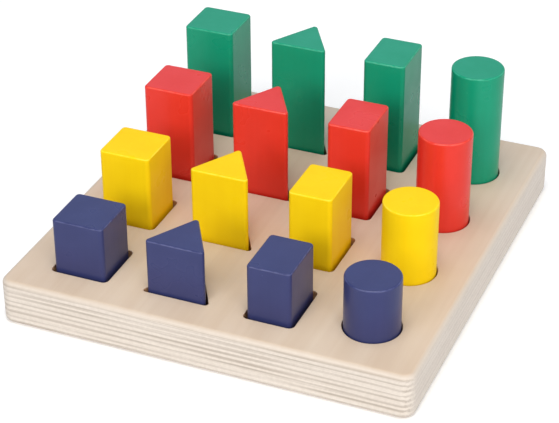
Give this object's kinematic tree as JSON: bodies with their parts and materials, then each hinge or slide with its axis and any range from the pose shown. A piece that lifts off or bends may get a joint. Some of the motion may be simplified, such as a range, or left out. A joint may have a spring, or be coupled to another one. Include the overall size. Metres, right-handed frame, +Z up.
{
  "type": "size sorting board",
  "caption": "Plywood board with rows of blind sockets that hold painted prism and cylinder blocks, each row one colour and taller than the row in front, for sorting by shape and height.",
  "frame": {"origin": "middle of the board's underside", "axes": "+Z up, +X along the columns to the right, +Y from the front row of shortest blocks to the back row of tallest ones"},
  "size_m": [0.2118, 0.2258, 0.0853],
  "materials": {
    "plywood": "satin clear lacquer",
    "blue_paint": "satin gloss paint",
    "yellow_paint": "satin gloss paint",
    "red_paint": "satin gloss paint",
    "green_paint": "satin gloss paint"
  },
  "bodies": {
    "board": {"plywood_board": "plywood"},
    "blue_square": {"blue_square": "blue_paint"},
    "blue_triangle": {"blue_triangle": "blue_paint"},
    "blue_rectangle": {"blue_rectangle": "blue_paint"},
    "blue_cylinder": {"blue_cylinder": "blue_paint"},
    "yellow_square": {"yellow_square": "yellow_paint"},
    "yellow_triangle": {"yellow_triangle": "yellow_paint"},
    "yellow_rectangle": {"yellow_rectangle": "yellow_paint"},
    "yellow_cylinder": {"yellow_cylinder": "yellow_paint"},
    "red_square": {"red_square": "red_paint"},
    "red_triangle": {"red_triangle": "red_paint"},
    "red_rectangle": {"red_rectangle": "red_paint"},
    "red_cylinder": {"red_cylinder": "red_paint"},
    "green_square": {"green_square": "green_paint"},
    "green_triangle": {"green_triangle": "green_paint"},
    "green_rectangle": {"green_rectangle": "green_paint"},
    "green_cylinder": {"green_cylinder": "green_paint"}
  },
  "joints": [
    {"name": "blue_square_lift", "type": "slide", "parent": "board", "child": "blue_square", "axis": [0, 0, 1], "range_m": [0, 0.078]},
    {"name": "blue_triangle_lift", "type": "slide", "parent": "board", "child": "blue_triangle", "axis": [0, 0, 1], "range_m": [0, 0.078]},
    {"name": "blue_rectangle_lift", "type": "slide", "parent": "board", "child": "blue_rectangle", "axis": [0, 0, 1], "range_m": [0, 0.078]},
    {"name": "blue_cylinder_lift", "type": "slide", "parent": "board", "child": "blue_cylinder", "axis": [0, 0, 1], "range_m": [0, 0.078]},
    {"name": "yellow_square_lift", "type": "slide", "parent": "board", "child": "yellow_square", "axis": [0, 0, 1], "range_m": [0, 0.078]},
    {"name": "yellow_triangle_lift", "type": "slide", "parent": "board", "child": "yellow_triangle", "axis": [0, 0, 1], "range_m": [0, 0.078]},
    {"name": "yellow_rectangle_lift", "type": "slide", "parent": "board", "child": "yellow_rectangle", "axis": [0, 0, 1], "range_m": [0, 0.078]},
    {"name": "yellow_cylinder_lift", "type": "slide", "parent": "board", "child": "yellow_cylinder", "axis": [0, 0, 1], "range_m": [0, 0.078]},
    {"name": "red_square_lift", "type": "slide", "parent": "board", "child": "red_square", "axis": [0, 0, 1], "range_m": [0, 0.078]},
    {"name": "red_triangle_lift", "type": "slide", "parent": "board", "child": "red_triangle", "axis": [0, 0, 1], "range_m": [0, 0.078]},
    {"name": "red_rectangle_lift", "type": "slide", "parent": "board", "child": "red_rectangle", "axis": [0, 0, 1], "range_m": [0, 0.078]},
    {"name": "red_cylinder_lift", "type": "slide", "parent": "board", "child": "red_cylinder", "axis": [0, 0, 1], "range_m": [0, 0.078]},
    {"name": "green_square_lift", "type": "slide", "parent": "board", "child": "green_square", "axis": [0, 0, 1], "range_m": [0, 0.078]},
    {"name": "green_triangle_lift", "type": "slide", "parent": "board", "child": "green_triangle", "axis": [0, 0, 1], "range_m": [0, 0.078]},
    {"name": "green_rectangle_lift", "type": "slide", "parent": "board", "child": "green_rectangle", "axis": [0, 0, 1], "range_m": [0, 0.078]},
    {"name": "green_cylinder_lift", "type": "slide", "parent": "board", "child": "green_cylinder", "axis": [0, 0, 1], "range_m": [0, 0.078]}
  ]
}
